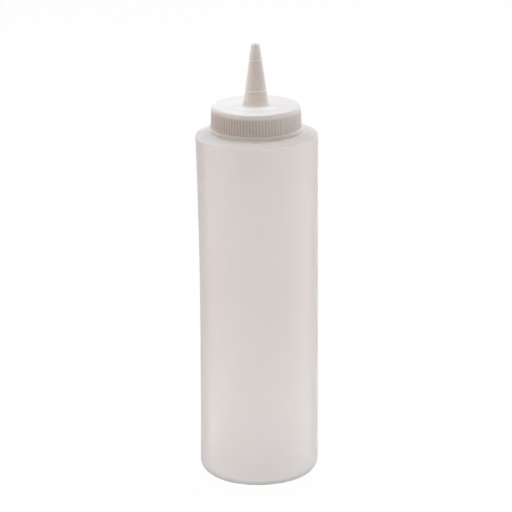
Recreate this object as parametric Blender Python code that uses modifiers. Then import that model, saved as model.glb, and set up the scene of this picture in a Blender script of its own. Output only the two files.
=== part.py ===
"""Squeeze bottle for sauces, with a screw cap that carries a tapered spout.

Metres, +Z up. The origin is the centre of the foot, on the plane that the bottle stands on.
Turned pieces are profiles of (distance from the axis, height) points, spun about the Z axis.
The thread is right-handed, so the cap comes off with a positive turn about +Z and rises with it.
"""
import math

import bmesh
import bpy

# Bottle body, blown in one piece
BODY_HEIGHT = 0.1689
FOOT_RADIUS = 0.02865
WAIST_RADIUS = 0.02840
SHOULDER_RADIUS = 0.02925
WAIST_HEIGHT = 0.0850
BODY_WALL = 0.0010
SHOULDER_RISE = 0.0024
SHOULDER_ROUNDING = 0.0010
FOOT_ROUNDING = 0.0060
STANDING_RING_WIDTH = 0.0022
PUSH_UP_HEIGHT = 0.0030

# Neck, a 38 mm wide screw finish
BORE_RADIUS = 0.0156
NECK_WALL = 0.0019
NECK_HEIGHT = 0.0091
NECK_FILLET = 0.0008
BORE_ROUNDING = 0.0010
LIP_CHAMFER = 0.0004

# Thread, the same ridge on the neck and in the cap
THREAD_PITCH = 0.0254 / 6
THREAD_TURNS = 1.25
THREAD_DEPTH = 0.0012
THREAD_ROOT_WIDTH = 0.0022
THREAD_CREST_WIDTH = 0.0008
THREAD_ROOT_SINK = 0.0008
THREAD_END_SINK = 0.0003
THREAD_DROP_FROM_LIP = 0.0022
THREAD_RISE_FROM_RIM = 0.0015
THREAD_FADE_SHARE = 0.12

# Cap
SKIRT_WALL = 0.00225
PLATE_THICKNESS = 0.0012
CAP_ROUNDING = 0.0021
SKIRT_DRAFT = 0.0003
RIM_HEIGHT = 0.0013
RIM_STANDING_PROUD = 0.0003
RIM_ROUNDING = 0.0003
MOUTH_CHAMFER = 0.0004
PLUG_WALL = 0.0009
PLUG_DEPTH = 0.0022

# Grip ribs, left standing between the grooves of the skirt
RIB_COUNT = 90
RIB_DEPTH = 0.00035
GROOVE_SHARE_OF_PITCH = 0.66
GROOVE_FLOOR_SHARE = 0.40

# Spout, moulded in one with the cap
SPOUT_HEIGHT = 0.0294
SPOUT_BASE_RADIUS = 0.0060
SPOUT_TIP_RADIUS = 0.0021
SPOUT_WALL = 0.0010
SPOUT_FILLET = 0.0006
TIP_HOLE_RADIUS = 0.0011
TIP_ROUNDING = 0.0004
GUIDE_RING_RELIEF = 0.00016
GUIDE_RING_HALF_WIDTH = 0.00022
LOWER_GUIDE_SHARE = 0.252
UPPER_GUIDE_SHARE = 0.748

# Sealing ring under the cap's plate
SEAL_THICKNESS = 0.0008

# Clearances between the pieces
SEAL_CLEARANCE = 0.0003
THREAD_CLEARANCE = 0.0003
PLUG_CLEARANCE = 0.0003
RIM_CLEARANCE = 0.0007

# One overrun for every cut
CUT_OVERRUN = 0.0010

# Facets of the turned pieces
BODY_STEPS = 60
SPOUT_STEPS = 36
MERGE_DISTANCE = 0.00001
SMOOTH_ANGLE = math.radians(32)

# Worked-out sizes
NECK_RADIUS = BORE_RADIUS + NECK_WALL
THREAD_RADIUS = NECK_RADIUS + THREAD_DEPTH
SKIRT_BORE_RADIUS = THREAD_RADIUS + THREAD_CLEARANCE
SLOPE = math.atan2(SHOULDER_RISE, SHOULDER_RADIUS - NECK_RADIUS)
LIP_HEIGHT = BODY_HEIGHT + SHOULDER_RISE + NECK_HEIGHT
TURN = 2 * math.pi


def shoulder_height(radius, offset=0):
    """Height of the shoulder's slope, or of a face parallel to it, at a distance from the axis."""
    inwards = SHOULDER_RADIUS - radius
    return BODY_HEIGHT + (offset + inwards * math.sin(SLOPE)) / math.cos(SLOPE)


def wall_radius(height):
    """Outside radius of the body, which draws in gently to a waist."""
    if height > WAIST_HEIGHT:
        share = (height - WAIST_HEIGHT) / (BODY_HEIGHT - WAIST_HEIGHT)
        return WAIST_RADIUS + (SHOULDER_RADIUS - WAIST_RADIUS) * share ** 2
    share = (WAIST_HEIGHT - height) / WAIST_HEIGHT
    return WAIST_RADIUS + (FOOT_RADIUS - WAIST_RADIUS) * share ** 2


def arc(centre, radius, start, end, steps):
    """Points of an arc between two angles in radians, measured from the outward direction."""
    points = []
    for step in range(steps + 1):
        angle = start + (end - start) * step / steps
        points.append((centre[0] + radius * math.cos(angle), centre[1] + radius * math.sin(angle)))
    return points


def dome(radius, height, base, start, end, steps):
    """Points of the base's pushed-up dome, a quarter ellipse between two angles in radians."""
    points = []
    for step in range(steps + 1):
        angle = start + (end - start) * step / steps
        points.append((max(radius * math.cos(angle), 0), base + height * math.sin(angle)))
    points = [(0, high) if far < MERGE_DISTANCE else (far, high) for far, high in points]
    return points


def new_collection(name):
    """A collection in the scene."""
    collection = bpy.data.collections.new(name)
    bpy.context.scene.collection.children.link(collection)
    return collection


def new_object(name, mesh, collection, parent=None):
    """An object for a mesh, carried by an empty if one is given."""
    result = bpy.data.objects.new(name, mesh)
    collection.objects.link(result)
    result.parent = parent
    return result


def turned(name, profile, steps, collection, parent=None, closed=False):
    """A profile spun about the Z axis. A closed profile makes a ring."""
    mesh = bpy.data.meshes.new(name)
    count = len(profile)
    edges = [(i, i + 1) for i in range(count - 1)]
    if closed:
        edges.append((count - 1, 0))
    mesh.from_pydata([(far, 0, high) for far, high in profile], edges, [])
    result = new_object(name, mesh, collection, parent)
    screw = result.modifiers.new("Spin", "SCREW")
    screw.axis = "Z"
    screw.angle = TURN
    screw.steps = steps
    screw.render_steps = steps
    screw.use_merge_vertices = True
    screw.merge_threshold = MERGE_DISTANCE
    screw.use_normal_calculate = False
    return result


def as_tool(tool):
    """Marks an object that only shapes another."""
    tool.hide_render = True
    tool.display_type = "WIRE"
    return tool


def combine(target, tool, operation):
    """Joins a tool to a piece, or cuts it away."""
    boolean = target.modifiers.new(tool.name, "BOOLEAN")
    boolean.operation = operation
    boolean.object = as_tool(tool)
    boolean.solver = "EXACT"


def finish(piece, material):
    """Turns the modifiers into mesh, shades the round faces smooth and gives the piece its material."""
    bpy.context.view_layer.update()
    evaluated = piece.evaluated_get(bpy.context.evaluated_depsgraph_get())
    mesh = bpy.data.meshes.new_from_object(evaluated)
    mesh.name = piece.name
    piece.modifiers.clear()
    piece.data = mesh
    mesh.materials.clear()
    mesh.materials.append(material)
    mesh.shade_smooth()
    mesh.set_sharp_from_angle(angle=SMOOTH_ANGLE)
    return piece


def plastic(name, colour, roughness, alpha=1.0):
    """A plain plastic or rubber."""
    material = bpy.data.materials.new(name)
    material.use_nodes = True
    shader = material.node_tree.nodes["Principled BSDF"]
    shader.inputs["Base Color"].default_value = (*colour, 1.0)
    shader.inputs["Roughness"].default_value = roughness
    shader.inputs["Metallic"].default_value = 0.0
    shader.inputs["Alpha"].default_value = alpha
    return material


def screw_ridge(name, wall, depth, bottom, start_angle, collection, parent=None):
    """One right-handed thread ridge on a round wall.

    depth is positive on the outside of a neck and negative on the inside of a cap. The ridge's
    root is sunk in the wall, and its crest dives into the wall at both ends.
    """
    sign = math.copysign(1, depth)
    root = wall - sign * THREAD_ROOT_SINK
    ends = wall - sign * THREAD_END_SINK
    widen = (THREAD_ROOT_WIDTH - THREAD_CREST_WIDTH) / THREAD_DEPTH
    stations = round(BODY_STEPS * THREAD_TURNS)
    ridge = bmesh.new()
    sections = []
    for station in range(stations + 1):
        share = station / stations
        fade = min(share, 1 - share) / THREAD_FADE_SHARE
        rise = math.sin(min(fade, 1) * math.pi / 2)
        crest = ends + (wall + depth - ends) * rise
        angle = start_angle + TURN * THREAD_TURNS * share
        middle = bottom + THREAD_PITCH * THREAD_TURNS * share
        crest_half = THREAD_CREST_WIDTH / 2 + widen * abs(wall + depth - crest) / 2
        root_half = THREAD_CREST_WIDTH / 2 + widen * abs(wall + depth - root) / 2
        corners = [(root, -root_half), (crest, -crest_half), (crest, crest_half), (root, root_half)]
        sections.append([
            ridge.verts.new((far * math.cos(angle), far * math.sin(angle), middle + high))
            for far, high in corners
        ])
    for near, far in zip(sections, sections[1:]):
        for corner in range(len(near)):
            beside = (corner + 1) % len(near)
            ridge.faces.new((near[corner], near[beside], far[beside], far[corner]))
    ridge.faces.new(sections[0])
    ridge.faces.new(sections[-1])
    bmesh.ops.recalc_face_normals(ridge, faces=ridge.faces)
    mesh = bpy.data.meshes.new(name)
    ridge.to_mesh(mesh)
    ridge.free()
    return new_object(name, mesh, collection, parent)


# The thread's places. A cap ridge rides one flank clearance below the neck's ridge.
NECK_THREAD_BOTTOM = LIP_HEIGHT - THREAD_DROP_FROM_LIP - THREAD_PITCH * THREAD_TURNS
FLANK_SPREAD = (THREAD_ROOT_WIDTH - THREAD_CREST_WIDTH) / (2 * THREAD_DEPTH)
FLANK_GAP = THREAD_CLEARANCE * math.hypot(1, FLANK_SPREAD)
RIDGE_DROP = THREAD_ROOT_WIDTH - FLANK_SPREAD * (SKIRT_BORE_RADIUS - NECK_RADIUS) + FLANK_GAP

# The cap's places, as heights above the neck's lip
PLATE_UNDERSIDE = SEAL_CLEARANCE + SEAL_THICKNESS + SEAL_CLEARANCE
PLATE_TOP = PLATE_UNDERSIDE + PLATE_THICKNESS
MOUTH_RADIUS = SKIRT_BORE_RADIUS + MOUTH_CHAMFER
SKIRT_RADIUS = SKIRT_BORE_RADIUS + SKIRT_WALL + RIB_DEPTH
RIM_BOTTOM = shoulder_height(MOUTH_RADIUS) + RIM_CLEARANCE - LIP_HEIGHT
RIM_TOP = RIM_BOTTOM + RIM_HEIGHT
CORNER_HEIGHT = PLATE_TOP - CAP_ROUNDING
PLUG_RADIUS = BORE_RADIUS - PLUG_CLEARANCE


def bottle_profile():
    """The bottle's wall, from the middle of the floor up the inside and down the outside."""
    quarter = math.pi / 2
    foot_centre = wall_radius(FOOT_ROUNDING) - FOOT_ROUNDING
    push_up_radius = foot_centre - STANDING_RING_WIDTH
    inner_corner = BODY_HEIGHT - BODY_WALL * (1 - math.sin(SLOPE)) / math.cos(SLOPE)
    inner_wall_steps = 4
    outer_wall_steps = 8

    points = dome(push_up_radius + BODY_WALL, PUSH_UP_HEIGHT, BODY_WALL, quarter, 0, 4)
    points += arc((foot_centre, FOOT_ROUNDING), FOOT_ROUNDING - BODY_WALL, -quarter, 0, 4)
    for step in range(1, inner_wall_steps + 1):
        height = FOOT_ROUNDING + (inner_corner - FOOT_ROUNDING) * step / inner_wall_steps
        points.append((wall_radius(height) - BODY_WALL, height))
    bore_foot = BORE_RADIUS + BORE_ROUNDING
    bore_foot_height = shoulder_height(bore_foot, BORE_ROUNDING - BODY_WALL)
    points += arc((bore_foot, bore_foot_height), BORE_ROUNDING, -quarter - SLOPE, -2 * quarter, 3)

    points.append((BORE_RADIUS, LIP_HEIGHT - LIP_CHAMFER))
    points.append((BORE_RADIUS + LIP_CHAMFER, LIP_HEIGHT))
    points.append((NECK_RADIUS - LIP_CHAMFER, LIP_HEIGHT))
    points.append((NECK_RADIUS, LIP_HEIGHT - LIP_CHAMFER))

    neck_foot = NECK_RADIUS + NECK_FILLET
    neck_foot_height = shoulder_height(neck_foot, NECK_FILLET)
    points += arc((neck_foot, neck_foot_height), NECK_FILLET, 2 * quarter, 3 * quarter - SLOPE, 3)
    edge = SHOULDER_RADIUS - SHOULDER_ROUNDING
    edge_height = shoulder_height(edge, -SHOULDER_ROUNDING)
    points += arc((edge, edge_height), SHOULDER_ROUNDING, quarter - SLOPE, 0, 4)
    for step in range(1, outer_wall_steps):
        height = edge_height + (FOOT_ROUNDING - edge_height) * step / outer_wall_steps
        points.append((wall_radius(height), height))
    points += arc((foot_centre, FOOT_ROUNDING), FOOT_ROUNDING, 0, -quarter, 6)
    points += dome(push_up_radius, PUSH_UP_HEIGHT, 0, 0, quarter, 5)
    return points


def make_bottle(parts, tools):
    """The squeeze bottle with its threaded neck."""
    bottle = turned("bottle", bottle_profile(), BODY_STEPS, parts)
    ridge = screw_ridge("neck_thread", NECK_RADIUS, THREAD_DEPTH, NECK_THREAD_BOTTOM, 0, tools)
    combine(bottle, ridge, "UNION")
    return finish(bottle, plastic("milky_plastic", (0.66, 0.62, 0.58), 0.42, 0.9))


def cap_profile():
    """The cap without its spout, from the middle of the top down the outside and up the inside."""
    quarter = math.pi / 2
    top_radius = SKIRT_RADIUS - SKIRT_DRAFT
    rim_radius = SKIRT_RADIUS + RIM_STANDING_PROUD
    corner = (top_radius - CAP_ROUNDING, CORNER_HEIGHT)
    rim = (rim_radius - RIM_ROUNDING, RIM_BOTTOM + RIM_ROUNDING)

    points = [(0, PLATE_TOP)]
    points += arc(corner, CAP_ROUNDING, quarter, 0, 4)
    points.append((SKIRT_RADIUS, RIM_TOP))
    points += arc((rim[0], RIM_TOP - RIM_ROUNDING), RIM_ROUNDING, quarter, 0, 2)
    points += arc(rim, RIM_ROUNDING, 0, -quarter, 2)
    points.append((MOUTH_RADIUS, RIM_BOTTOM))
    points.append((SKIRT_BORE_RADIUS, RIM_BOTTOM + MOUTH_CHAMFER))
    points.append((SKIRT_BORE_RADIUS, PLATE_UNDERSIDE))
    points.append((PLUG_RADIUS, PLATE_UNDERSIDE))
    points.append((PLUG_RADIUS, PLATE_UNDERSIDE - PLUG_DEPTH + LIP_CHAMFER))
    points.append((PLUG_RADIUS - LIP_CHAMFER, PLATE_UNDERSIDE - PLUG_DEPTH))
    points.append((PLUG_RADIUS - PLUG_WALL, PLATE_UNDERSIDE - PLUG_DEPTH))
    points.append((PLUG_RADIUS - PLUG_WALL, PLATE_UNDERSIDE))
    points.append((0, PLATE_UNDERSIDE))
    return points


def cone_radius(share, wall=0):
    """Radius of the spout, or of its channel, at a share of its height."""
    outside = SPOUT_BASE_RADIUS + (SPOUT_TIP_RADIUS - SPOUT_BASE_RADIUS) * share
    return outside - wall


def spout_profile():
    """The solid spout, from the middle of its tip down to a root sunk in the cap's plate."""
    quarter = math.pi / 2
    tip = PLATE_TOP + SPOUT_HEIGHT
    points = [(0, tip)]
    points += arc((SPOUT_TIP_RADIUS - TIP_ROUNDING, tip - TIP_ROUNDING), TIP_ROUNDING, quarter, 0, 3)
    for share in (UPPER_GUIDE_SHARE, LOWER_GUIDE_SHARE):
        height = PLATE_TOP + SPOUT_HEIGHT * share
        far = cone_radius(share)
        points.append((far, height + GUIDE_RING_HALF_WIDTH))
        points.append((far + GUIDE_RING_RELIEF, height))
        points.append((far, height - GUIDE_RING_HALF_WIDTH))
    fillet = (SPOUT_BASE_RADIUS + SPOUT_FILLET, PLATE_TOP + SPOUT_FILLET)
    points += arc(fillet, SPOUT_FILLET, 2 * quarter, 3 * quarter, 3)
    points.append((SPOUT_BASE_RADIUS + SPOUT_FILLET, PLATE_TOP - PLATE_THICKNESS / 2))
    points.append((0, PLATE_TOP - PLATE_THICKNESS / 2))
    return points


def channel_profile():
    """The spout's channel, cut from above the tip to below the plate."""
    tip = PLATE_TOP + SPOUT_HEIGHT
    land = tip - 2 * SPOUT_WALL
    land_share = (land - PLATE_TOP) / SPOUT_HEIGHT
    narrow = min(TIP_HOLE_RADIUS, SPOUT_TIP_RADIUS - TIP_ROUNDING)
    throat = max(cone_radius(land_share, SPOUT_WALL), narrow)
    return [
        (0, tip + CUT_OVERRUN),
        (narrow, tip + CUT_OVERRUN),
        (narrow, land),
        (throat, land - SPOUT_WALL),
        (cone_radius(0, SPOUT_WALL), PLATE_TOP),
        (cone_radius(0, SPOUT_WALL), PLATE_UNDERSIDE - CUT_OVERRUN),
        (0, PLATE_UNDERSIDE - CUT_OVERRUN),
    ]


def grip_grooves(tools, parent):
    """Wedge-shaped grooves all round the skirt, which run out in the rounding of its top."""
    pitch = TURN * SKIRT_RADIUS / RIB_COUNT
    groove_mouth = pitch * GROOVE_SHARE_OF_PITCH
    groove_floor = groove_mouth * GROOVE_FLOOR_SHARE
    spread = (groove_mouth - groove_floor) / RIB_DEPTH
    mouth_width = groove_mouth + spread * CUT_OVERRUN
    height = PLATE_TOP - RIM_TOP

    cuts = bmesh.new()
    bmesh.ops.create_cube(cuts, size=1)
    for vert in cuts.verts:
        upper = vert.co.z > 0
        floor_radius = SKIRT_RADIUS - RIB_DEPTH - (SKIRT_DRAFT / 2 if upper else 0)
        outer = vert.co.x > 0
        width = mouth_width if outer else groove_floor
        vert.co.x = SKIRT_RADIUS + CUT_OVERRUN if outer else floor_radius
        vert.co.y = math.copysign(width / 2, vert.co.y)
        vert.co.z = RIM_TOP + height if upper else RIM_TOP
    bmesh.ops.spin(cuts, geom=cuts.verts[:] + cuts.edges[:] + cuts.faces[:], axis=(0, 0, 1),
                   cent=(0, 0, 0), angle=TURN * (RIB_COUNT - 1) / RIB_COUNT,
                   steps=RIB_COUNT - 1, use_duplicate=True)
    mesh = bpy.data.meshes.new("grip_grooves")
    cuts.to_mesh(mesh)
    cuts.free()
    return new_object("grip_grooves", mesh, tools, parent)


def make_cap(parts, tools, carrier):
    """The screw cap: skirt, plate and plug, with its spout, channel, ribs and thread."""
    cap = turned("cap", cap_profile(), RIB_COUNT, parts, carrier)
    combine(cap, turned("spout_solid", spout_profile(), SPOUT_STEPS, tools, carrier), "UNION")
    combine(cap, turned("spout_channel", channel_profile(), SPOUT_STEPS, tools, carrier), "DIFFERENCE")
    combine(cap, grip_grooves(tools, carrier), "DIFFERENCE")

    bottom = RIM_BOTTOM + THREAD_RISE_FROM_RIM
    above_neck_thread = LIP_HEIGHT + bottom + RIDGE_DROP - NECK_THREAD_BOTTOM
    start = TURN * above_neck_thread / THREAD_PITCH
    ridge = screw_ridge("cap_thread", SKIRT_BORE_RADIUS, -THREAD_DEPTH, bottom, start, tools, carrier)
    combine(cap, ridge, "UNION")
    return finish(cap, plastic("white_plastic", (0.82, 0.80, 0.78), 0.38))


def make_seal_ring(parts, carrier):
    """The soft ring between the neck's lip and the cap's plate, round the plug, cut from flat sheet."""
    inner = PLUG_RADIUS + PLUG_CLEARANCE
    outer = THREAD_RADIUS
    low = SEAL_CLEARANCE
    high = low + SEAL_THICKNESS
    corners = [(inner, low), (inner, high), (outer, high), (outer, low)]
    ring = turned("seal_ring", corners, BODY_STEPS, parts, carrier, closed=True)
    return finish(ring, plastic("soft_seal", (0.74, 0.73, 0.70), 0.6))


def make_all():
    """Clears the scene and makes every piece."""
    for old in list(bpy.data.objects):
        bpy.data.objects.remove(old)
    parts = new_collection("sauce_dispenser_bottle")
    tools = new_collection("shaping_tools")
    cap_axis = bpy.data.objects.new("cap_axis", None)
    cap_axis.location = (0, 0, LIP_HEIGHT)
    parts.objects.link(cap_axis)
    make_bottle(parts, tools)
    make_cap(parts, tools, cap_axis)
    make_seal_ring(parts, cap_axis)


make_all()
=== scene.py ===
"""Squeeze bottle for sauces: a milky blown bottle, a soft seal ring and a white screw cap with a spout.

Everything is in metres, +Z up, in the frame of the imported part.
"""
import math

import bmesh
import bpy
from mathutils import Matrix, Vector


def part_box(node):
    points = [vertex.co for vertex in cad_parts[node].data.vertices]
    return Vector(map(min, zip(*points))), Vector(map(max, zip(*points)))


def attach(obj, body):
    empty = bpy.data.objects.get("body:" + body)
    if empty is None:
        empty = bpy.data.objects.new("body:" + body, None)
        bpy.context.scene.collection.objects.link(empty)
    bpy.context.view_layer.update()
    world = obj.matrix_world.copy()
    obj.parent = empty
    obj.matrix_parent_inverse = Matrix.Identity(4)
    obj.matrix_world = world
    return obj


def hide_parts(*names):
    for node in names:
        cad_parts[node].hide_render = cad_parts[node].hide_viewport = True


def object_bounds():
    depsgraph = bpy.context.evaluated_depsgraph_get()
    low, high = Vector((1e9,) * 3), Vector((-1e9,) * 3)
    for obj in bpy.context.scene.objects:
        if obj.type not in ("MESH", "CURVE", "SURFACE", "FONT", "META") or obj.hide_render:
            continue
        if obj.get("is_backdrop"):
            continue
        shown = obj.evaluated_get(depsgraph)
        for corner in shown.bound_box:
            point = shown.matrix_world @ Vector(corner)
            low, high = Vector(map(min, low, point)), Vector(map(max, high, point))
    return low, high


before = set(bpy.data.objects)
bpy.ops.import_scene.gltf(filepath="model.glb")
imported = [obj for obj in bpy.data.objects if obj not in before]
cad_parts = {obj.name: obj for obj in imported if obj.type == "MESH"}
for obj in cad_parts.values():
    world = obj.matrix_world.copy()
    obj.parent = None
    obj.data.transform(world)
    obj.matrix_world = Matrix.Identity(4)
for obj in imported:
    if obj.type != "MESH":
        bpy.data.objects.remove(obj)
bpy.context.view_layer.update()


# Squeeze bottle. One piece of milky low-density polyethylene, blown in a two-part mould: the wall is
# thin and slightly waisted, the shoulder is nearly flat, the foot is rounded and the base pushed up.
# The mould leaves a fine parting line up both sides and a pinched weld across the base.
lip_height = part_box("bottle")[1].z
shoulder_trim = 0.00012
shoulder_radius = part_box("bottle")[1].x - shoulder_trim
waist_radius = 0.02840
foot_radius = 0.02865
waist_height = 0.0850
body_height = 0.1689
shoulder_rise = 0.0024
shoulder_rounding = 0.0010
side_bow = 0.00062
bow_span = 0.86
foot_rounding = 0.0060
body_wall = 0.0010
push_up_height = 0.0030
standing_ring = 0.0022
bore_radius = 0.0156
bore_rounding = 0.0010
neck_radius = 0.0175
neck_fillet = 0.0008
lip_rounding = 0.0004
thread_pitch = 0.0254 / 6
thread_turns = 1.25
thread_depth = 0.0012
thread_root = 0.0022
thread_crest = 0.0008
thread_drop = 0.0022
thread_root_sink = 0.0008
thread_end_sink = 0.0003
thread_fade_share = 0.12
thread_steps = 120
parting_relief = 0.00006
parting_half_width = 0.00014
weld_half_length = 0.0130
weld_relief = 0.00035
weld_fade = 8 * parting_half_width
merge_distance = 0.000002
wall_steps = 24
crisp_angle = 40
quarter, half, turn = math.pi / 2, math.pi, 2 * math.pi
slope = math.atan2(shoulder_rise, shoulder_radius - neck_radius)

# Colours of the milky plastic. A band says where a tone starts and ends, and its share at either end.
streak_dark = (0.980, 0.958, 0.941)
streak_pale = (0.992, 0.975, 0.962)
streak_band = (0.32, 0.68, 0, 1)
streak_fineness = (95, 95, 7)
streak_lean = (0.05, -0.09, 0)
streak_waver = 0.4
cloud_tone = (0.988, 0.959, 0.950)
cloud_band = (0.35, 0.70, 0, 0.55)
cloud_fineness = (22, 22, 14)
milk_speck_tone = (0.962, 0.938, 0.920)
milk_speck_share = 0.22
milk_scuff_tone = (0.940, 0.915, 0.895)
milk_scuff_share = 0.35
low_body_tone = (1.0, 0.980, 0.972)
low_body_band = (0.015, 0.080, 0.85, 0)
# Painted light: the foot is painted paler, to lift the shade where it stands near the floor.
foot_painted_light = (1.0, 1.0, 1.0)
foot_band = (0.003, 0.022, 1, 0)
waist_tone = (0.925, 0.880, 0.845)
waist_tone_height = 0.098
waist_band = (0.005, 0.050, 0.5, 0)
# Painted highlight: a pale line painted just under the shoulder's edge, for the light on the edge's
# rounding.
edge_painted_highlight = (1.0, 0.990, 0.975)
edge_line_height = body_height - 0.0005
edge_line_band = (0.0003, 0.0010, 1, 0)
# Painted shade: the shoulder is painted darker than the wall, paler on the left and darker to the right,
# for the shade of the cap and the way light falls on it.
shoulder_left_painted_shade = (0.895, 0.860, 0.840)
shoulder_middle_painted_shade = (0.835, 0.768, 0.735)
shoulder_right_painted_shade = (0.775, 0.715, 0.685)
shoulder_left_band = (-0.022, -0.004, 0, 1)
shoulder_right_band = (0, 0.025, 0, 1)
# Painted light: the shoulder right round the neck, under the cap's rim, is painted pale to lift the shade
# there.
under_rim_painted_light = (1.0, 0.965, 0.940)
# Painted shade: the crease near the shoulder's edge is painted dark, as well as dipped in the bump.
crease_painted_shade = (0.73, 0.66, 0.62)
crease_share = 0.75

# The slanting draw line on the front of the upper body: a darker line with a paler one beside it, each
# given as its place, its half width and its tone.
draw_line_lean = 0.267
draw_lines = ((0.0356, 0.0020, (0.930, 0.905, 0.885)), (0.0376, 0.0012, (1.0, 0.980, 0.965)))
draw_line_core = 0.0002
draw_line_share = 0.5
draw_line_front = (-0.020, -0.010, 1, 0)
draw_line_start = (0.124, 0.134, 0, 1)
draw_line_end = (0.156, 0.166, 1, 0)

# Finish of the milky plastic: dull all over, and a little smoother where it is scuffed.
milk_fineness = 1400
milk_dullness = (0.3, 0.7, 0.84, 0.94)
scuff_gloss = 0.10
scuff_depth = 0.8
milk_relief = 0.00003
milk_refraction = 1.12
milk_clearness = 0.5
milk_scatter = 0.0050


def held(share):
    """A share kept between none and all."""
    return min(max(share, 0), 1)


def arc(far, high, radius, start, end, steps):
    """Profile points of an arc, as (distance from the axis, height), between two angles in radians."""
    angles = [start + (end - start) * step / steps for step in range(steps + 1)]
    return [(far + radius * math.cos(angle), high + radius * math.sin(angle)) for angle in angles]


def dome(radius, base, start, end, steps):
    """Profile points of the base's pushed-up dome, a quarter ellipse that ends on the axis."""
    angles = [start + (end - start) * step / steps for step in range(steps + 1)]
    points = [(radius * math.cos(angle), base + push_up_height * math.sin(angle)) for angle in angles]
    return [(far if far > merge_distance else 0, high) for far, high in points]


def shoulder_at(far, offset=0):
    """Height of the shoulder's slope, or of a face parallel to it, at a distance from the axis."""
    return body_height + (offset + (shoulder_radius - far) * math.sin(slope)) / math.cos(slope)


def wall_at(height):
    """Outside radius of the waisted body."""
    if height > waist_height:
        share = (height - waist_height) / (body_height - waist_height)
        return waist_radius + (shoulder_radius - waist_radius) * share ** 2
    return waist_radius + (foot_radius - waist_radius) * (1 - height / waist_height) ** 2


def spun(points, steps):
    """A skin turned about the Z axis from profile points."""
    skin = bmesh.new()
    row = [skin.verts.new((far, 0, high)) for far, high in points]
    edges = [skin.edges.new(pair) for pair in zip(row, row[1:])]
    bmesh.ops.spin(skin, geom=row + edges, cent=(0, 0, 0), axis=(0, 0, 1), dvec=(0, 0, 0),
                   angle=turn, steps=steps, use_merge=True, use_duplicate=False)
    bmesh.ops.remove_doubles(skin, verts=skin.verts, dist=merge_distance)
    bmesh.ops.recalc_face_normals(skin, faces=skin.faces)
    return skin


def flank_lean():
    """How far a flank of the thread spreads along the axis for each unit of its depth."""
    return (thread_root - thread_crest) / (2 * thread_depth)


def screw_ridge(wall, depth, bottom, start_angle):
    """A right-handed thread ridge on a round wall, which sinks into the wall at both ends."""
    sign = math.copysign(1, depth)
    sunk, ends = wall - sign * thread_root_sink, wall - sign * thread_end_sink
    crest = wall + depth
    crest_half = thread_crest / 2
    root_half = crest_half + flank_lean() * abs(crest - sunk)
    ridge = bmesh.new()
    corners = [(sunk, -root_half), (crest, -crest_half), (crest, crest_half), (sunk, root_half)]
    section = ridge.faces.new([ridge.verts.new((far, 0, high)) for far, high in corners])
    bmesh.ops.spin(ridge, geom=[section], cent=(0, 0, 0), axis=(0, 0, 1), angle=turn * thread_turns,
                   dvec=(0, 0, thread_pitch * thread_turns / thread_steps), steps=thread_steps,
                   use_merge=False, use_duplicate=False)
    for vert in ridge.verts:
        far = math.hypot(vert.co.x, vert.co.y)
        if abs(far - crest) < thread_depth / 4:
            rise = held(vert.co.z / (thread_pitch * thread_turns))
            fade = math.sin(min(min(rise, 1 - rise) / thread_fade_share, 1) * quarter)
            scale = (ends + (crest - ends) * fade) / far
            vert.co.x *= scale
            vert.co.y *= scale
    bmesh.ops.recalc_face_normals(ridge, faces=ridge.faces)
    bmesh.ops.rotate(ridge, verts=ridge.verts, cent=(0, 0, 0), matrix=Matrix.Rotation(start_angle, 3, "Z"))
    bmesh.ops.translate(ridge, verts=ridge.verts, vec=(0, 0, bottom))
    return ridge


def new_piece(name, shape):
    """An object at the origin from a finished bmesh."""
    mesh = bpy.data.meshes.new(name)
    shape.to_mesh(mesh)
    shape.free()
    piece = bpy.data.objects.new(name, mesh)
    bpy.context.scene.collection.objects.link(piece)
    return piece


def join_ridge(target, ridge_shape):
    """Joins a thread ridge to a wall, as one skin."""
    ridge = new_piece(target.name + "_ridge", ridge_shape)
    union = target.modifiers.new("thread", "BOOLEAN")
    union.operation = "UNION"
    union.solver = "EXACT"
    union.object = ridge
    bpy.context.view_layer.update()
    joined = target.evaluated_get(bpy.context.evaluated_depsgraph_get())
    mesh = bpy.data.meshes.new_from_object(joined)
    target.modifiers.clear()
    target.data = mesh
    bpy.data.objects.remove(ridge)


def shade_round(piece):
    """Smooth shading with the true edges kept crisp."""
    piece.data.shade_smooth()
    piece.data.set_sharp_from_angle(angle=math.radians(crisp_angle))


foot_centre = wall_at(foot_rounding) - foot_rounding
push_up_radius = foot_centre - standing_ring
inner_corner = body_height - body_wall * (1 - math.sin(slope)) / math.cos(slope)
bore_foot = bore_radius + bore_rounding
neck_foot = neck_radius + neck_fillet
shoulder_edge = shoulder_radius - shoulder_rounding
edge_height = shoulder_at(shoulder_edge, -shoulder_rounding)

# The profile runs up the inside from the middle of the base, over the lip, and down the outside.
bottle_points = dome(push_up_radius + body_wall, body_wall, quarter, 0, steps=14)
bottle_points += arc(foot_centre, foot_rounding, foot_rounding - body_wall, -quarter, 0, steps=12)
for step in range(1, wall_steps + 1):
    high = foot_rounding + (inner_corner - foot_rounding) * step / wall_steps
    bottle_points.append((wall_at(high) - body_wall, high))
bottle_points += arc(bore_foot, shoulder_at(bore_foot, bore_rounding - body_wall), bore_rounding,
                     -quarter - slope, -half, steps=6)
bottle_points += arc(bore_radius + lip_rounding, lip_height - lip_rounding, lip_rounding,
                     half, quarter, steps=4)
bottle_points += arc(neck_radius - lip_rounding, lip_height - lip_rounding, lip_rounding,
                     quarter, 0, steps=4)
bottle_points += arc(neck_foot, shoulder_at(neck_foot, neck_fillet), neck_fillet,
                     half, 3 * quarter - slope, steps=6)
bottle_points += arc(shoulder_edge, edge_height, shoulder_rounding, quarter - slope, 0, steps=8)
for step in range(1, wall_steps):
    high = edge_height + (foot_rounding - edge_height) * step / wall_steps
    bottle_points.append((wall_at(high), high))
bottle_points += arc(foot_centre, foot_rounding, foot_rounding, 0, -quarter, steps=14)
bottle_points += dome(push_up_radius, 0, 0, quarter, steps=16)
bottle_skin = spun(bottle_points, steps=144)

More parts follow.
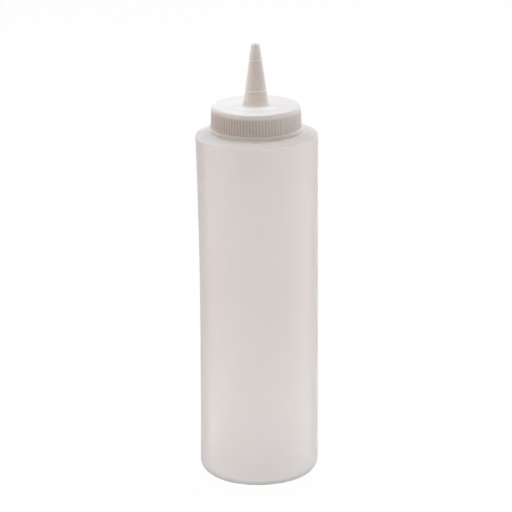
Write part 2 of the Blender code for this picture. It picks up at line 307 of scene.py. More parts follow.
# The parting lines and the weld stand proud on the mould's plane, between a cut on either side of it.
for cut_place in (-parting_half_width, parting_half_width):
    every_part = bottle_skin.verts[:] + bottle_skin.edges[:] + bottle_skin.faces[:]
    bmesh.ops.bisect_plane(bottle_skin, geom=every_part, plane_co=(0, cut_place, 0), plane_no=(0, 1, 0))
for vert in bottle_skin.verts:
    if abs(vert.co.y) > parting_half_width / 2:
        continue
    far = abs(vert.co.x)
    if foot_rounding < vert.co.z < edge_height and far > wall_at(vert.co.z) - body_wall / 2:
        vert.co.x += math.copysign(parting_relief, vert.co.x)
    under = push_up_height * math.sqrt(max(1 - (far / push_up_radius) ** 2, 0))
    if far < weld_half_length and vert.co.z < under + body_wall / 2:
        vert.co.z -= weld_relief * min((weld_half_length - far) / weld_fade, 1)

# The soft body bows a little to the right, and the neck stays on the axis.
for vert in bottle_skin.verts:
    far = math.hypot(vert.co.x, vert.co.y)
    bow = side_bow * math.sin(half * bow_span * held(vert.co.z / body_height))
    if vert.co.z > edge_height:
        bow *= held((far - neck_foot) / (shoulder_edge - neck_foot))
    vert.co.x += bow
bottle = new_piece("squeeze_bottle", bottle_skin)
neck_thread_bottom = lip_height - thread_drop - thread_pitch * thread_turns
join_ridge(bottle, screw_ridge(neck_radius, thread_depth, neck_thread_bottom, 0))
shade_round(bottle)


def object_place(tree):
    """The Object coordinates."""
    return tree.nodes.new("ShaderNodeTexCoord").outputs["Object"]


def new_material(name):
    """A material with its node tree, its Object coordinates and its Principled shader."""
    material = bpy.data.materials.new(name)
    material.use_nodes = True
    tree = material.node_tree
    return material, tree, object_place(tree), tree.nodes["Principled BSDF"]


def new_group(name, outputs):
    """A node group that puts out values; returns the group, its output node and its coordinates."""
    group = bpy.data.node_groups.new(name, "ShaderNodeTree")
    for output in outputs:
        group.interface.new_socket(output, in_out="OUTPUT", socket_type="NodeSocketFloat")
    return group, group.nodes.new("NodeGroupOutput"), object_place(group)


def group_of(tree, group):
    """A group placed in a material."""
    placed = tree.nodes.new("ShaderNodeGroup")
    placed.node_tree = group
    return placed


def split(tree, place):
    """The three parts of a place: to the right, to the back and up."""
    parts = tree.nodes.new("ShaderNodeSeparateXYZ")
    tree.links.new(place, parts.inputs["Vector"])
    return parts.outputs["X"], parts.outputs["Y"], parts.outputs["Z"]


def noise(tree, place, scale, detail=2, distortion=0):
    """A noise texture on a place in space; returns its even, grey output."""
    texture = tree.nodes.new("ShaderNodeTexNoise")
    texture.inputs["Scale"].default_value = scale
    texture.inputs["Detail"].default_value = detail
    texture.inputs["Distortion"].default_value = distortion
    tree.links.new(place, texture.inputs["Vector"])
    return texture.outputs["Fac"]


def stretched(tree, place, scale, lean=(0, 0, 0)):
    """The same place, drawn out and leaned over, for streaks and scuffs."""
    mapping = tree.nodes.new("ShaderNodeMapping")
    mapping.inputs["Rotation"].default_value = lean
    mapping.inputs["Scale"].default_value = scale
    tree.links.new(place, mapping.inputs["Vector"])
    return mapping.outputs["Vector"]


def remap(tree, value, low, high, to_low, to_high):
    """A value spread over a new range, and held to it."""
    spread = tree.nodes.new("ShaderNodeMapRange")
    for name, number in (("From Min", low), ("From Max", high), ("To Min", to_low), ("To Max", to_high)):
        spread.inputs[name].default_value = number
    tree.links.new(value, spread.inputs["Value"])
    return spread.outputs["Result"]


def combine(tree, kind, first, second=0):
    """Two values joined by a maths node; either may be a plain number."""
    maths = tree.nodes.new("ShaderNodeMath")
    maths.operation = kind
    for socket, value in zip(maths.inputs, (first, second)):
        if isinstance(value, (int, float)):
            socket.default_value = value
        else:
            tree.links.new(value, socket)
    return maths.outputs["Value"]


def times(tree, first, second):
    """The product of two values, as where two bands overlap."""
    return combine(tree, "MULTIPLY", first, second)


def off(tree, value, middle):
    """How far a value is from a line, on either side."""
    return combine(tree, "ABSOLUTE", combine(tree, "SUBTRACT", value, middle))


def blend(tree, share, first, second):
    """A colour between two others; either may come from another node."""
    mix = tree.nodes.new("ShaderNodeMix")
    mix.data_type = "RGBA"
    tree.links.new(share, mix.inputs["Factor"])
    for name, colour in (("A", first), ("B", second)):
        if isinstance(colour, tuple):
            mix.inputs[name].default_value = (*colour, 1)
        else:
            tree.links.new(colour, mix.inputs[name])
    return mix.outputs["Result"]


def raised(tree, height, distance):
    """A bump normal from a height."""
    bump = tree.nodes.new("ShaderNodeBump")
    bump.inputs["Distance"].default_value = distance
    bump.inputs["Strength"].default_value = 1
    tree.links.new(height, bump.inputs["Height"])
    return bump.outputs["Normal"]


# The mould's grain: a fine, even matte texture, with specks a little lighter and darker than the rest.
speck_scale = 700
speck_band = (0.35, 0.65, 0, 1)
grain, made, place = new_group("mould_grain", ("Height", "Speck"))
grain.interface.new_socket("Fineness", in_out="INPUT", socket_type="NodeSocketFloat")
given = grain.nodes.new("NodeGroupInput")
fine = noise(grain, place, 1, detail=3)
grain.links.new(given.outputs["Fineness"], fine.node.inputs["Scale"])
grain.links.new(fine, made.inputs["Height"])
specks = noise(grain, place, speck_scale, detail=1)
grain.links.new(remap(grain, specks, *speck_band), made.inputs["Speck"])

# Marks of handling: long thin scuffs in patches, which run in three directions. Each direction has its
# lean and the fineness of its lines across and along.
scuff_runs = (((0.35, 0.1, 0), (900, 900, 26)), ((1.2, 0.5, 0.3), (700, 700, 22)),
              ((-0.8, 0.9, 0), (800, 800, 30)))
scuff_line_band = (0.66, 0.74, 0, 1)
scuff_patch_scale = 38
scuff_patch_band = (0.50, 0.68, 0, 1)
scuffs, made, place = new_group("handling_scuffs", ("Scuffs",))
scuff_lines = 0
for lean, fineness in scuff_runs:
    one_run = noise(scuffs, stretched(scuffs, place, fineness, lean), 1, detail=1)
    scuff_lines = combine(scuffs, "MAXIMUM", scuff_lines, remap(scuffs, one_run, *scuff_line_band))
patches = remap(scuffs, noise(scuffs, place, scuff_patch_scale), *scuff_patch_band)
scuffs.links.new(times(scuffs, scuff_lines, patches), made.inputs["Scuffs"])

# The crease near the edge of the shoulder: a fine bent line that lies inside the edge in front and on
# the right, and runs down over the edge on the left. The places along it are in metres.
crease_line = ((-0.0285, -0.0030), (-0.0236, -0.0010), (-0.0149, 0), (-0.0058, 0.00145), (0, 0.0018),
               (0.0091, 0.0019), (0.0159, 0.0019), (0.0245, 0.0004), (0.0285, 0.0003))
crease_reach = 0.0285
crease_low, crease_high = -0.004, 0.004
crease_band = (0.0002, 0.0008, 1, 0)
crease_side_band = (-0.020, -0.005, 0.4, 1)
on_shoulder_band = (0.0001, 0.0007, 0, 1)
sheltered_band = (0.0223, 0.0246, 1, 0)
crease, made, place = new_group("shoulder_crease", ("Crease", "Shoulder", "Sheltered"))
across, back, up = split(crease, place)
sideways = combine(crease, "SUBTRACT", across, side_bow * math.sin(half * bow_span))
squares = combine(crease, "ADD", times(crease, sideways, sideways), times(crease, back, back))
from_axis = combine(crease, "SQRT", squares)
inward = combine(crease, "ADD", combine(crease, "SUBTRACT", shoulder_radius, from_axis),
                 combine(crease, "SUBTRACT", up, body_height))
bend = crease.nodes.new("ShaderNodeFloatCurve")
bend_line = bend.mapping.curves[0]
for _ in crease_line[2:]:
    bend_line.points.new(0.5, 0.5)
for point, (right, inside) in zip(bend_line.points, crease_line):
    point.location = (0.5 + right / (2 * crease_reach),
                      (inside - crease_low) / (crease_high - crease_low))
bend.mapping.update()
crease.links.new(remap(crease, sideways, -crease_reach, crease_reach, 0, 1), bend.inputs["Value"])
wanted = remap(crease, bend.outputs["Value"], 0, 1, crease_low, crease_high)
folded = times(crease, remap(crease, off(crease, inward, wanted), *crease_band),
               remap(crease, sideways, *crease_side_band))
crease.links.new(folded, made.inputs["Crease"])
# Masks for the shoulder's painted shade and for the painted light round the neck under the rim.
crease.links.new(remap(crease, inward, *on_shoulder_band), made.inputs["Shoulder"])
crease.links.new(remap(crease, from_axis, *sheltered_band), made.inputs["Sheltered"])

milky, tree, place, shader = new_material("milky_plastic")
across, back, up = split(tree, place)
matte = group_of(tree, grain)
matte.inputs["Fineness"].default_value = milk_fineness
worn = group_of(tree, scuffs).outputs["Scuffs"]
edging = group_of(tree, crease)
drawn_down = noise(tree, stretched(tree, place, streak_fineness, streak_lean), 1,
                   detail=3, distortion=streak_waver)
cloudy = noise(tree, stretched(tree, place, cloud_fineness), 1)
tone = blend(tree, remap(tree, drawn_down, *streak_band), streak_dark, streak_pale)
tone = blend(tree, remap(tree, cloudy, *cloud_band), tone, cloud_tone)
tone = blend(tree, times(tree, matte.outputs["Speck"], milk_speck_share), tone, milk_speck_tone)
tone = blend(tree, times(tree, worn, milk_scuff_share), tone, milk_scuff_tone)
tone = blend(tree, remap(tree, up, *low_body_band), tone, low_body_tone)
# The foot's painted light.
tone = blend(tree, remap(tree, up, *foot_band), tone, foot_painted_light)
slanted = combine(tree, "ADD", across, times(tree, up, draw_line_lean))
upper_front = times(tree, remap(tree, back, *draw_line_front),
                    times(tree, remap(tree, up, *draw_line_start), remap(tree, up, *draw_line_end)))
for line_place, line_width, line_tone in draw_lines:
    line_share = remap(tree, off(tree, slanted, line_place), draw_line_core, line_width, draw_line_share, 0)
    tone = blend(tree, times(tree, line_share, upper_front), tone, line_tone)
tone = blend(tree, remap(tree, off(tree, up, waist_tone_height), *waist_band), tone, waist_tone)
# The painted highlight under the shoulder's edge.
tone = blend(tree, remap(tree, off(tree, up, edge_line_height), *edge_line_band), tone, edge_painted_highlight)
# The shoulder's painted shade, paler on the left and darker to the right.
shoulder_painted_shade = blend(tree, remap(tree, across, *shoulder_left_band),
                      shoulder_left_painted_shade, shoulder_middle_painted_shade)
shoulder_painted_shade = blend(tree, remap(tree, across, *shoulder_right_band), shoulder_painted_shade, shoulder_right_painted_shade)
tone = blend(tree, edging.outputs["Shoulder"], tone, shoulder_painted_shade)
# The painted light round the neck under the cap's rim.
tone = blend(tree, edging.outputs["Sheltered"], tone, under_rim_painted_light)
# The crease's painted shade.
tone = blend(tree, times(tree, edging.outputs["Crease"], crease_share), tone, crease_painted_shade)
tree.links.new(tone, shader.inputs["Base Color"])
dull = remap(tree, matte.outputs["Height"], *milk_dullness)
dull = combine(tree, "SUBTRACT", dull, times(tree, worn, scuff_gloss))
tree.links.new(dull, shader.inputs["Roughness"])
relief = combine(tree, "SUBTRACT", matte.outputs["Height"], times(tree, worn, scuff_depth))
relief = combine(tree, "SUBTRACT", relief, edging.outputs["Crease"])
tree.links.new(raised(tree, relief, milk_relief), shader.inputs["Normal"])
shader.inputs["IOR"].default_value = milk_refraction
shader.inputs["Transmission Weight"].default_value = milk_clearness
shader.inputs["Subsurface Weight"].default_value = 1.0
shader.inputs["Subsurface Radius"].default_value = (1.0, 1.0, 1.0)
shader.inputs["Subsurface Scale"].default_value = milk_scatter
bottle.data.materials.clear()
bottle.data.materials.append(milky)
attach(bottle, "bottle")
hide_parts("bottle")


# Seal ring. A flat ring cut from soft closed-cell sheet. It lies inside the cap, under the plate and
# round the plug collar, and the neck's lip presses into it when the cap is screwed down.
seal_low, seal_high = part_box("seal_ring")
seal_softness = 0.00012
seal_dark = (0.66, 0.64, 0.60)
seal_pale = (0.76, 0.74, 0.70)
pressed_scale = 260
pressed_band = (0.35, 0.65, 0, 1)
cell_scale = 3200
cell_dullness = (0, 0.8, 0.75, 0.55)
cell_relief = 0.00004

seal_inside = bore_radius + seal_softness
seal_outside = seal_high.x - seal_softness
seal_under = seal_low.z + seal_softness
seal_over = seal_high.z - seal_softness
seal_points = arc(seal_inside, seal_over, seal_softness, half, quarter, steps=3)
seal_points += arc(seal_outside, seal_over, seal_softness, quarter, 0, steps=3)
seal_points += arc(seal_outside, seal_under, seal_softness, 0, -quarter, steps=3)
seal_points += arc(seal_inside, seal_under, seal_softness, -quarter, -half, steps=3)
seal_points.append(seal_points[0])
seal = new_piece("seal_sheet", spun(seal_points, steps=96))
shade_round(seal)

soft, tree, place, shader = new_material("soft_seal")
cells = tree.nodes.new("ShaderNodeTexVoronoi")
cells.inputs["Scale"].default_value = cell_scale
tree.links.new(place, cells.inputs["Vector"])
pressed = remap(tree, noise(tree, place, pressed_scale), *pressed_band)
tree.links.new(blend(tree, pressed, seal_dark, seal_pale), shader.inputs["Base Color"])
tree.links.new(remap(tree, cells.outputs["Distance"], *cell_dullness), shader.inputs["Roughness"])
tree.links.new(raised(tree, cells.outputs["Distance"], cell_relief), shader.inputs["Normal"])
seal.data.materials.clear()
seal.data.materials.append(soft)
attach(seal, "seal")
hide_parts("seal_ring")


# Screw cap. One white injection moulding: a plate with a ribbed skirt and a plain rim, a plug collar
# and a thread inside, and a hollow tapered spout with two fine guide rings for cutting the tip back.
cap_low, cap_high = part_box("cap")
plate_rise = 0.0026
plate_top = lip_height + plate_rise
plate_thickness = 0.0012
plate_underside = plate_top - plate_thickness
rim_drop = 0.0004
rim_bottom = cap_low.z - rim_drop
rim_rise = 0.0012
rim_top = cap_low.z + rim_rise
rim_trim = 0.00012
rim_radius = cap_high.x - rim_trim
rim_rounding = 0.0003
rim_standing_proud = 0.0003
skirt_radius = cap_high.x - rim_standing_proud
skirt_draft = 0.0003
skirt_steps = 14
thread_clearance = 0.0003
skirt_bore = neck_radius + thread_depth + thread_clearance
cap_thread_rise = 0.0015
cap_thread_bottom = cap_low.z + cap_thread_rise
cap_rounding = 0.0015
cap_rounding_fall = 0.0023
crown = skirt_radius - skirt_draft - cap_rounding
skirt_top = plate_top - cap_rounding_fall
mouth_chamfer = 0.0004
plug_clearance = 0.0003
plug_radius = bore_radius - plug_clearance
plug_wall = 0.0009
plug_inside = plug_radius - plug_wall
plug_depth = 0.0022
plug_bottom = plate_underside - plug_depth
rib_count = 90
rib_depth = 0.00055
rib_crest_share = 0.35
rib_flank_share = 0.35
rib_fade_drop = 0.0008
rib_fade_length = 0.0026
samples_per_rib = 8
spout_base = 0.0060
spout_tip = 0.0021
spout_fillet = 0.0011
spout_wall = 0.0010
spout_inside = spout_base - spout_wall
flange = 0.0085
web_spread = 1.15
flange_foot = flange / web_spread
tip_height = cap_high.z
tip_rounding = 0.00035
tip_hole = 0.0007
tip_hole_rounding = 0.0002
land_depth = 0.0020
land = tip_height - land_depth
land_cone = 0.0010
guide_relief = 0.00024
guide_bead = guide_relief * 1.4
guide_sink = guide_relief * 0.4
guide_reach = quarter * 0.8
lower_guide = 0.252
upper_guide = 0.748

# Colours of the white plastic, with bands as on the bottle.
flow_dark = (0.728, 0.695, 0.674)
flow_pale = (0.742, 0.709, 0.688)
flow_band = (0.35, 0.65, 0, 1)
flow_fineness = (70, 70, 25)
flow_waver = 0.3
cap_speck_tone = (0.680, 0.640, 0.610)
cap_speck_share = 0.08
cap_scuff_tone = (0.665, 0.625, 0.592)
cap_scuff_share = 0.12

# Painted shade: the skirt is painted darker than the plate, warmer on the left and greyer on the right, and
# painted darker still in the grooves. Its top corner is painted pale in front, a painted highlight.
skirt_left_painted_shade = (0.510, 0.450, 0.420)
skirt_right_painted_shade = (0.655, 0.690, 0.670)
skirt_side_band = (-0.004, 0.013, 0, 1)
skirt_share = 0.45
skirt_wall_band = (crown, crown + 0.0012, 0, 1)
skirt_top_band = (plate_top - 0.0026, plate_top - 0.0004, 1, 0)
skirt_rim_band = (rim_top - 0.0002, rim_top + 0.0024, 0.2, 1)
groove_painted_shade = (0.48, 0.43, 0.39)
groove_share = 0.13
groove_band = (skirt_radius - rib_depth, skirt_radius - 0.00015, 1, 0)
# Painted highlight: the top corner of the skirt is painted pale in front, for the light on its rounding.
corner_painted_highlight = (0.87, 0.83, 0.80)
corner_highlight_height = plate_top - 0.0017
corner_highlight_band = (0.0003, 0.0011, 0.6, 0)
corner_highlight_front_band = (-0.019, -0.012, 1, 0)
corner_highlight_wall_band = (crown, crown + 0.0010, 0, 1)
# Painted light: the lower edge of the rim is painted pale, to lift the shade over the shoulder.
rim_under_painted_light = (0.95, 0.92, 0.90)
rim_under_band = (rim_bottom + 0.0001, rim_bottom + 0.0003, 0.9, 0)

# Painted light and shade on the plate: it is painted paler in front, with a painted highlight round the
# front of the spout's foot, and painted a little darker to the back and to the right.
plate_front_painted_light = (0.795, 0.795, 0.800)
plate_front_band = (-0.016, -0.006, 0.40, 0)
plate_edge_band = (crown - 0.0006, crown + 0.0002, 1, 0)
plate_painted_shade = (0.56, 0.52, 0.495)
plate_back_band = (0.002, 0.014, 0, 0.15)
plate_right_band = (-0.002, 0.010, 0, 0.36)
plate_face_band = (0.0004, 0.0012, 1, 0)
spout_foot_painted_highlight = (0.90, 0.885, 0.875)
round_spout_band = (0.0095, 0.0125, 0.8, 0)
round_spout_front_band = (-0.0065, -0.0030, 1, 0)

# Painted light and shade on the spout: it is painted paler on the left, darker in the middle and greyer on
# the right, and paler towards the tip, a painted glow for the light that its thin wall lets through.
spout_left_painted_light = (0.87, 0.915, 0.915)
spout_middle_painted_shade = (0.760, 0.676, 0.630)
spout_right_painted_shade = (0.64, 0.635, 0.640)
spout_left_band = (-0.95, -0.35, 0, 1)
spout_right_band = (0.25, 0.85, 0, 1)
spout_band = (plate_top + 0.0010, plate_top + 0.0030, 0, 0.50)
tip_painted_glow = (0.90, 0.90, 0.90)
tip_band = (tip_height - 0.0090, tip_height - 0.0006, 0, 0.45)
tip_side_band = (tip_height - 0.0003, tip_height, 1, 0)
tip_face_tone = (0.58, 0.57, 0.56)
tip_face_band = (tip_height - 0.0003, tip_height - 0.0001, 0, 0.6)
# Painted highlight: the guide rings are painted pale, for the light they catch.
guide_painted_highlight = (0.95, 0.92, 0.89)
guides = ((lower_guide, 0.70), (upper_guide, 0.40))
guide_core, guide_spread = 0.0001, 0.0004

# Finish of the white plastic: a satin sheen, with the slow waviness of a moulded face.
cap_fineness = 1900
cap_sheen = (0.3, 0.7, 0.29, 0.34)
cap_scuff_dulling = 0.05
cap_scuff_depth = 0.2
wave_scale = 240
wave_depth = 4.0
cap_relief = 0.000004
cap_scatter_share = 0.3
cap_scatter = 0.0006


def spout_at(share):
    """Outside radius of the spout at a share of its height."""
    return spout_base + (spout_tip - spout_base) * share


def spout_height_at(share):
    """Height in the frame at a share of the spout's height."""
    return plate_top + (tip_height - plate_top) * share


def eased(share):
    """A share that starts and ends gently."""
    return share * share * (3 - 2 * share)


ring_points = [(flange, plate_top)]
for far, high in arc(crown, skirt_top, cap_rounding, quarter, 0, steps=12):
    ring_points.append((far, skirt_top + (high - skirt_top) * cap_rounding_fall / cap_rounding))
for step in range(1, skirt_steps + 1):
    ring_points.append((skirt_radius - skirt_draft * (1 - step / skirt_steps),
                        skirt_top + (rim_top - skirt_top) * step / skirt_steps))
ring_points += arc(rim_radius - rim_rounding, rim_top - rim_rounding, rim_rounding, quarter, 0, steps=4)
ring_points += arc(rim_radius - rim_rounding, rim_bottom + rim_rounding, rim_rounding, 0, -quarter, steps=4)
ring_points += [
    (skirt_bore + mouth_chamfer, rim_bottom),
    (skirt_bore, rim_bottom + mouth_chamfer),
    (skirt_bore, plate_underside),
    (plug_radius, plate_underside),
    (plug_radius, plug_bottom + mouth_chamfer),
    (plug_radius - mouth_chamfer, plug_bottom),
    (plug_inside, plug_bottom),
    (plug_inside, plate_underside),
    (flange, plate_underside),
]
cap_skin = spun(ring_points, steps=rib_count * samples_per_rib)

# The ribs: each groove is pressed in between two crests, and fades out towards the top corner.
for vert in cap_skin.verts:
    far = math.hypot(vert.co.x, vert.co.y)
    if vert.co.z < rim_top - rim_rounding / 4 or far < crown:
        continue
    if vert.co.z < rim_top + rim_rounding / 4 and far > skirt_radius + rim_rounding / 4:
        continue
    place_in_pitch = (math.atan2(vert.co.y, vert.co.x) / turn * rib_count) % 1
    from_crest = min(place_in_pitch, 1 - place_in_pitch) * 2
    sunk_share = eased(held((from_crest - rib_crest_share) / rib_flank_share))
    depth = rib_depth * eased(held((plate_top - rib_fade_drop - vert.co.z) / rib_fade_length))
    rise = (vert.co.z - rim_top) / (plate_top - rim_top)
    crest = skirt_radius - skirt_draft * rise / 2
    kept = min(far, crest - depth * sunk_share)
    vert.co.x *= kept / far
    vert.co.y *= kept / far

cone_foot = land - land_cone
cone_share = (cone_foot - plate_top) / (tip_height - plate_top)
spout_points = [(flange_foot, plate_underside), (spout_inside, plate_underside), (spout_inside, plate_top),
                (spout_at(cone_share) - spout_wall, cone_foot), (tip_hole, land)]
spout_points += arc(tip_hole + tip_hole_rounding, tip_height - tip_hole_rounding, tip_hole_rounding,
                    half, quarter, steps=3)
spout_points += arc(spout_tip - tip_rounding, tip_height - tip_rounding, tip_rounding, quarter, 0, steps=6)
for share in (upper_guide, lower_guide):
    spout_points += arc(spout_at(share) - guide_sink, spout_height_at(share), guide_bead,
                        guide_reach, -guide_reach, steps=6)
spout_points += arc(spout_base + spout_fillet, plate_top + spout_fillet, spout_fillet,
                    half, 3 * quarter, steps=6)
spout_points.append((flange_foot, plate_top))
spout_skin = spun(spout_points, steps=96)

# The ribbed ring and the spout have different numbers of sides, so a flat web joins them on the plate.
cap = new_piece("screw_cap", cap_skin)
spout_mesh = bpy.data.meshes.new("spout")
spout_skin.to_mesh(spout_mesh)
spout_skin.free()
whole_cap = bmesh.new()
whole_cap.from_mesh(cap.data)
whole_cap.from_mesh(spout_mesh)
bpy.data.meshes.remove(spout_mesh)
for level in (plate_top, plate_underside):
    open_rims = [edge for edge in whole_cap.edges
                 if edge.is_boundary and abs(edge.verts[0].co.z - level) < rim_rounding / 4]
    bmesh.ops.triangle_fill(whole_cap, edges=open_rims, use_beauty=True, use_dissolve=False)
bmesh.ops.recalc_face_normals(whole_cap, faces=whole_cap.faces)
whole_cap.to_mesh(cap.data)
whole_cap.free()

# The cap's thread starts at the angle at which it sits under the neck's thread with its clearance.
ridge_drop = (thread_root - flank_lean() * (skirt_bore - neck_radius)
              + thread_clearance * math.hypot(1, flank_lean()))
cap_thread_start = turn * (cap_thread_bottom + ridge_drop - neck_thread_bottom) / thread_pitch
join_ridge(cap, screw_ridge(skirt_bore, -thread_depth, cap_thread_bottom, cap_thread_start))
shade_round(cap)

white, tree, place, shader = new_material("white_plastic")
across, back, up = split(tree, place)
satin = group_of(tree, grain)
satin.inputs["Fineness"].default_value = cap_fineness
worn = group_of(tree, scuffs).outputs["Scuffs"]
measure = tree.nodes.new("ShaderNodeVectorMath")
measure.operation = "LENGTH"
tree.links.new(stretched(tree, place, (1, 1, 0)), measure.inputs[0])
outward = measure.outputs["Value"]

flow = noise(tree, stretched(tree, place, flow_fineness), 1, detail=1, distortion=flow_waver)
tone = blend(tree, remap(tree, flow, *flow_band), flow_dark, flow_pale)
tone = blend(tree, times(tree, satin.outputs["Speck"], cap_speck_share), tone, cap_speck_tone)
tone = blend(tree, times(tree, worn, cap_scuff_share), tone, cap_scuff_tone)

on_the_skirt = times(tree, remap(tree, outward, *skirt_wall_band), remap(tree, up, *skirt_top_band))
in_a_groove = times(tree, on_the_skirt, remap(tree, outward, *groove_band))
above_the_rim = times(tree, on_the_skirt, remap(tree, up, *skirt_rim_band))
# Painted shade on the skirt, and deeper painted shade in the grooves.
skirt_painted_shade = blend(tree, remap(tree, across, *skirt_side_band), skirt_left_painted_shade, skirt_right_painted_shade)
tone = blend(tree, times(tree, above_the_rim, skirt_share), tone, skirt_painted_shade)
tone = blend(tree, times(tree, in_a_groove, groove_share), tone, groove_painted_shade)
# The painted highlight on the skirt's top corner, in front.
corner_highlight = times(tree, remap(tree, back, *corner_highlight_front_band),
               remap(tree, off(tree, up, corner_highlight_height), *corner_highlight_band))
corner_highlight = times(tree, corner_highlight, remap(tree, outward, *corner_highlight_wall_band))
tone = blend(tree, corner_highlight, tone, corner_painted_highlight)

# Painted light in front on the plate, and painted shade to its back and right.
plate_front = times(tree, remap(tree, back, *plate_front_band), remap(tree, outward, *plate_edge_band))
tone = blend(tree, plate_front, tone, plate_front_painted_light)
on_the_plate = remap(tree, off(tree, up, plate_top), *plate_face_band)
for along, dark_band in ((back, plate_back_band), (across, plate_right_band)):
    tone = blend(tree, times(tree, remap(tree, along, *dark_band), on_the_plate), tone, plate_painted_shade)
# The rim's painted light.
tone = blend(tree, remap(tree, up, *rim_under_band), tone, rim_under_painted_light)
# Painted highlight round the front of the spout's foot.
round_the_spout = times(tree, remap(tree, outward, *round_spout_band),
                        remap(tree, back, *round_spout_front_band))
tone = blend(tree, round_the_spout, tone, spout_foot_painted_highlight)

# Painted light and shade round the spout, and a painted glow towards the tip.
round_about = combine(tree, "DIVIDE", across, outward)
spout_painted_light_and_shade = blend(tree, remap(tree, round_about, *spout_left_band), spout_left_painted_light, spout_middle_painted_shade)
spout_painted_light_and_shade = blend(tree, remap(tree, round_about, *spout_right_band), spout_painted_light_and_shade, spout_right_painted_shade)
tone = blend(tree, remap(tree, up, *spout_band), tone, spout_painted_light_and_shade)
near_the_tip = times(tree, remap(tree, up, *tip_band), remap(tree, up, *tip_side_band))
tone = blend(tree, near_the_tip, tone, tip_painted_glow)
tone = blend(tree, remap(tree, up, *tip_face_band), tone, tip_face_tone)
# The guide rings' painted highlight.
for share, paleness in guides:
    off_the_guide = off(tree, up, spout_height_at(share))
    tone = blend(tree, remap(tree, off_the_guide, guide_core, guide_spread, paleness, 0), tone, guide_painted_highlight)
tree.links.new(tone, shader.inputs["Base Color"])

sheen = combine(tree, "ADD", remap(tree, flow, *cap_sheen), times(tree, worn, cap_scuff_dulling))
tree.links.new(sheen, shader.inputs["Roughness"])
relief = combine(tree, "SUBTRACT", satin.outputs["Height"], times(tree, worn, cap_scuff_depth))
waves = times(tree, noise(tree, place, wave_scale, detail=1), wave_depth)
relief = combine(tree, "ADD", relief, waves)
tree.links.new(raised(tree, relief, cap_relief), shader.inputs["Normal"])
shader.inputs["Subsurface Weight"].default_value = cap_scatter_share
shader.inputs["Subsurface Radius"].default_value = (1.0, 1.0, 1.0)
shader.inputs["Subsurface Scale"].default_value = cap_scatter
cap.data.materials.clear()
cap.data.materials.append(white)
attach(cap, "cap")
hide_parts("cap")


# Studio. A plain white floor that runs out of sight, under a warm, even sky. One soft box hangs overhead
# and one stands on either side, a little behind the bottle. The camera and the bottle see both the
# floor and the sky as white paper.
floor_size = 6.0
paper_dark = (0.88, 0.88, 0.88)
paper_pale = (0.92, 0.92, 0.92)
paper_dullness = (0.3, 0.7, 0.85, 0.95)
fibre_scale = 900
fibre_relief = 0.00005
paper_glow = 0.965
sky_colour = (1.0, 0.87, 0.755)
sky_strength = 0.51
white_strength = 1.0
light_target = Vector((0, 0, 0.11))

# The soft boxes, each with its place, its width and height, its watts, its colour, and whether it shows
# in the gloss.
soft_boxes = (
    ("top_light", (0, 0.23, 1.07), (0.7, 0.7), 7.7, (0.73, 0.88, 1.0), True),
    ("left_light", (-1.5, 0.45, 0.5), (1.2, 1.1), 6.2, (1.0, 0.78, 0.80), False),
    ("right_light", (1.4, 0.8, 0.5), (1.2, 1.1), 12.5, (1.0, 0.97, 0.94), False),
)


def seen_plainly(tree):
    """Whether a ray comes from the camera, off a gloss or through a clear wall."""
    rays = tree.nodes.new("ShaderNodeLightPath").outputs
    direct = combine(tree, "MAXIMUM", rays["Is Camera Ray"], rays["Is Glossy Ray"])
    return combine(tree, "MAXIMUM", direct, rays["Is Transmission Ray"])


def choose(tree, share, first, second):
    """One of two shaders, or a mixture; the share may be a plain number."""
    mix = tree.nodes.new("ShaderNodeMixShader")
    if isinstance(share, float):
        mix.inputs["Fac"].default_value = share
    else:
        tree.links.new(share, mix.inputs["Fac"])
    tree.links.new(first, mix.inputs[1])
    tree.links.new(second, mix.inputs[2])
    return mix.outputs["Shader"]


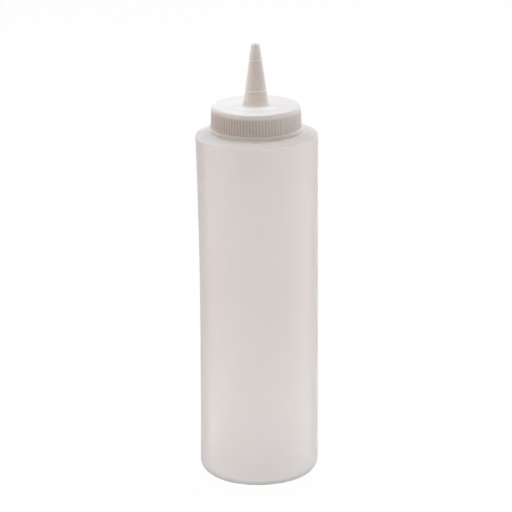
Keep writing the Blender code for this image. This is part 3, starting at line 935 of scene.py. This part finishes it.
floor_shape = bmesh.new()
bmesh.ops.create_grid(floor_shape, x_segments=1, y_segments=1, size=floor_size)
floor = new_piece("floor", floor_shape)
paper, tree, place, shader = new_material("white_paper")
fibres = noise(tree, place, fibre_scale, detail=3)
tree.links.new(blend(tree, fibres, paper_dark, paper_pale), shader.inputs["Base Color"])
tree.links.new(remap(tree, fibres, *paper_dullness), shader.inputs["Roughness"])
tree.links.new(raised(tree, fibres, fibre_relief), shader.inputs["Normal"])
glow = tree.nodes.new("ShaderNodeEmission")
glow.inputs["Strength"].default_value = white_strength
faint = choose(tree, paper_glow, shader.outputs["BSDF"], glow.outputs["Emission"])
surface = choose(tree, seen_plainly(tree), shader.outputs["BSDF"], faint)
tree.links.new(surface, tree.nodes["Material Output"].inputs["Surface"])
floor.data.materials.append(paper)
floor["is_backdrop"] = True

world = bpy.data.worlds.new("tent")
bpy.context.scene.world = world
world.use_nodes = True
tree = world.node_tree
sky = tree.nodes["Background"]
sky.inputs["Color"].default_value = (*sky_colour, 1)
sky.inputs["Strength"].default_value = sky_strength
backdrop = tree.nodes.new("ShaderNodeBackground")
backdrop.inputs["Color"].default_value = (1, 1, 1, 1)
backdrop.inputs["Strength"].default_value = white_strength
surface = choose(tree, seen_plainly(tree), sky.outputs["Background"], backdrop.outputs["Background"])
tree.links.new(surface, tree.nodes["World Output"].inputs["Surface"])

for name, position, (width, height), watts, colour, in_gloss in soft_boxes:
    lamp = bpy.data.lights.new(name, "AREA")
    lamp.shape = "RECTANGLE"
    lamp.size = width
    lamp.size_y = height
    lamp.energy = watts
    lamp.color = colour
    soft_box = bpy.data.objects.new(name, lamp)
    bpy.context.scene.collection.objects.link(soft_box)
    soft_box.location = position
    soft_box.rotation_euler = (light_target - Vector(position)).to_track_quat("-Z", "Y").to_euler()
    soft_box.visible_glossy = in_gloss

bpy.context.scene.view_settings.view_transform = "Standard"


# Camera. A long lens 1.4 m away looks 16.7 degrees down at the bottle. It is rolled by half a degree,
# as the photograph is, and stands a hair to the left, so that the bottle sits as it does there.
camera_distance = 1.400
camera_pitch = math.radians(16.7)
camera_roll = math.radians(-0.534)
aim_height = 0.1084
aim_side = -0.00065
focal_pixels = 2915.4
image_side = 512
sensor_width = 36
nearest_seen = 0.05
lens = bpy.data.cameras.new("camera")
lens.sensor_width = sensor_width
lens.lens = focal_pixels / image_side * sensor_width
lens.clip_start = nearest_seen
camera = bpy.data.objects.new("camera", lens)
bpy.context.scene.collection.objects.link(camera)
look = Matrix.Rotation(quarter - camera_pitch, 4, "X") @ Matrix.Rotation(camera_roll, 4, "Z")
stand = Vector((aim_side, -camera_distance * math.cos(camera_pitch),
                aim_height + camera_distance * math.sin(camera_pitch)))
camera.matrix_world = Matrix.Translation(stand) @ look
bpy.context.scene.camera = camera

low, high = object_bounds()
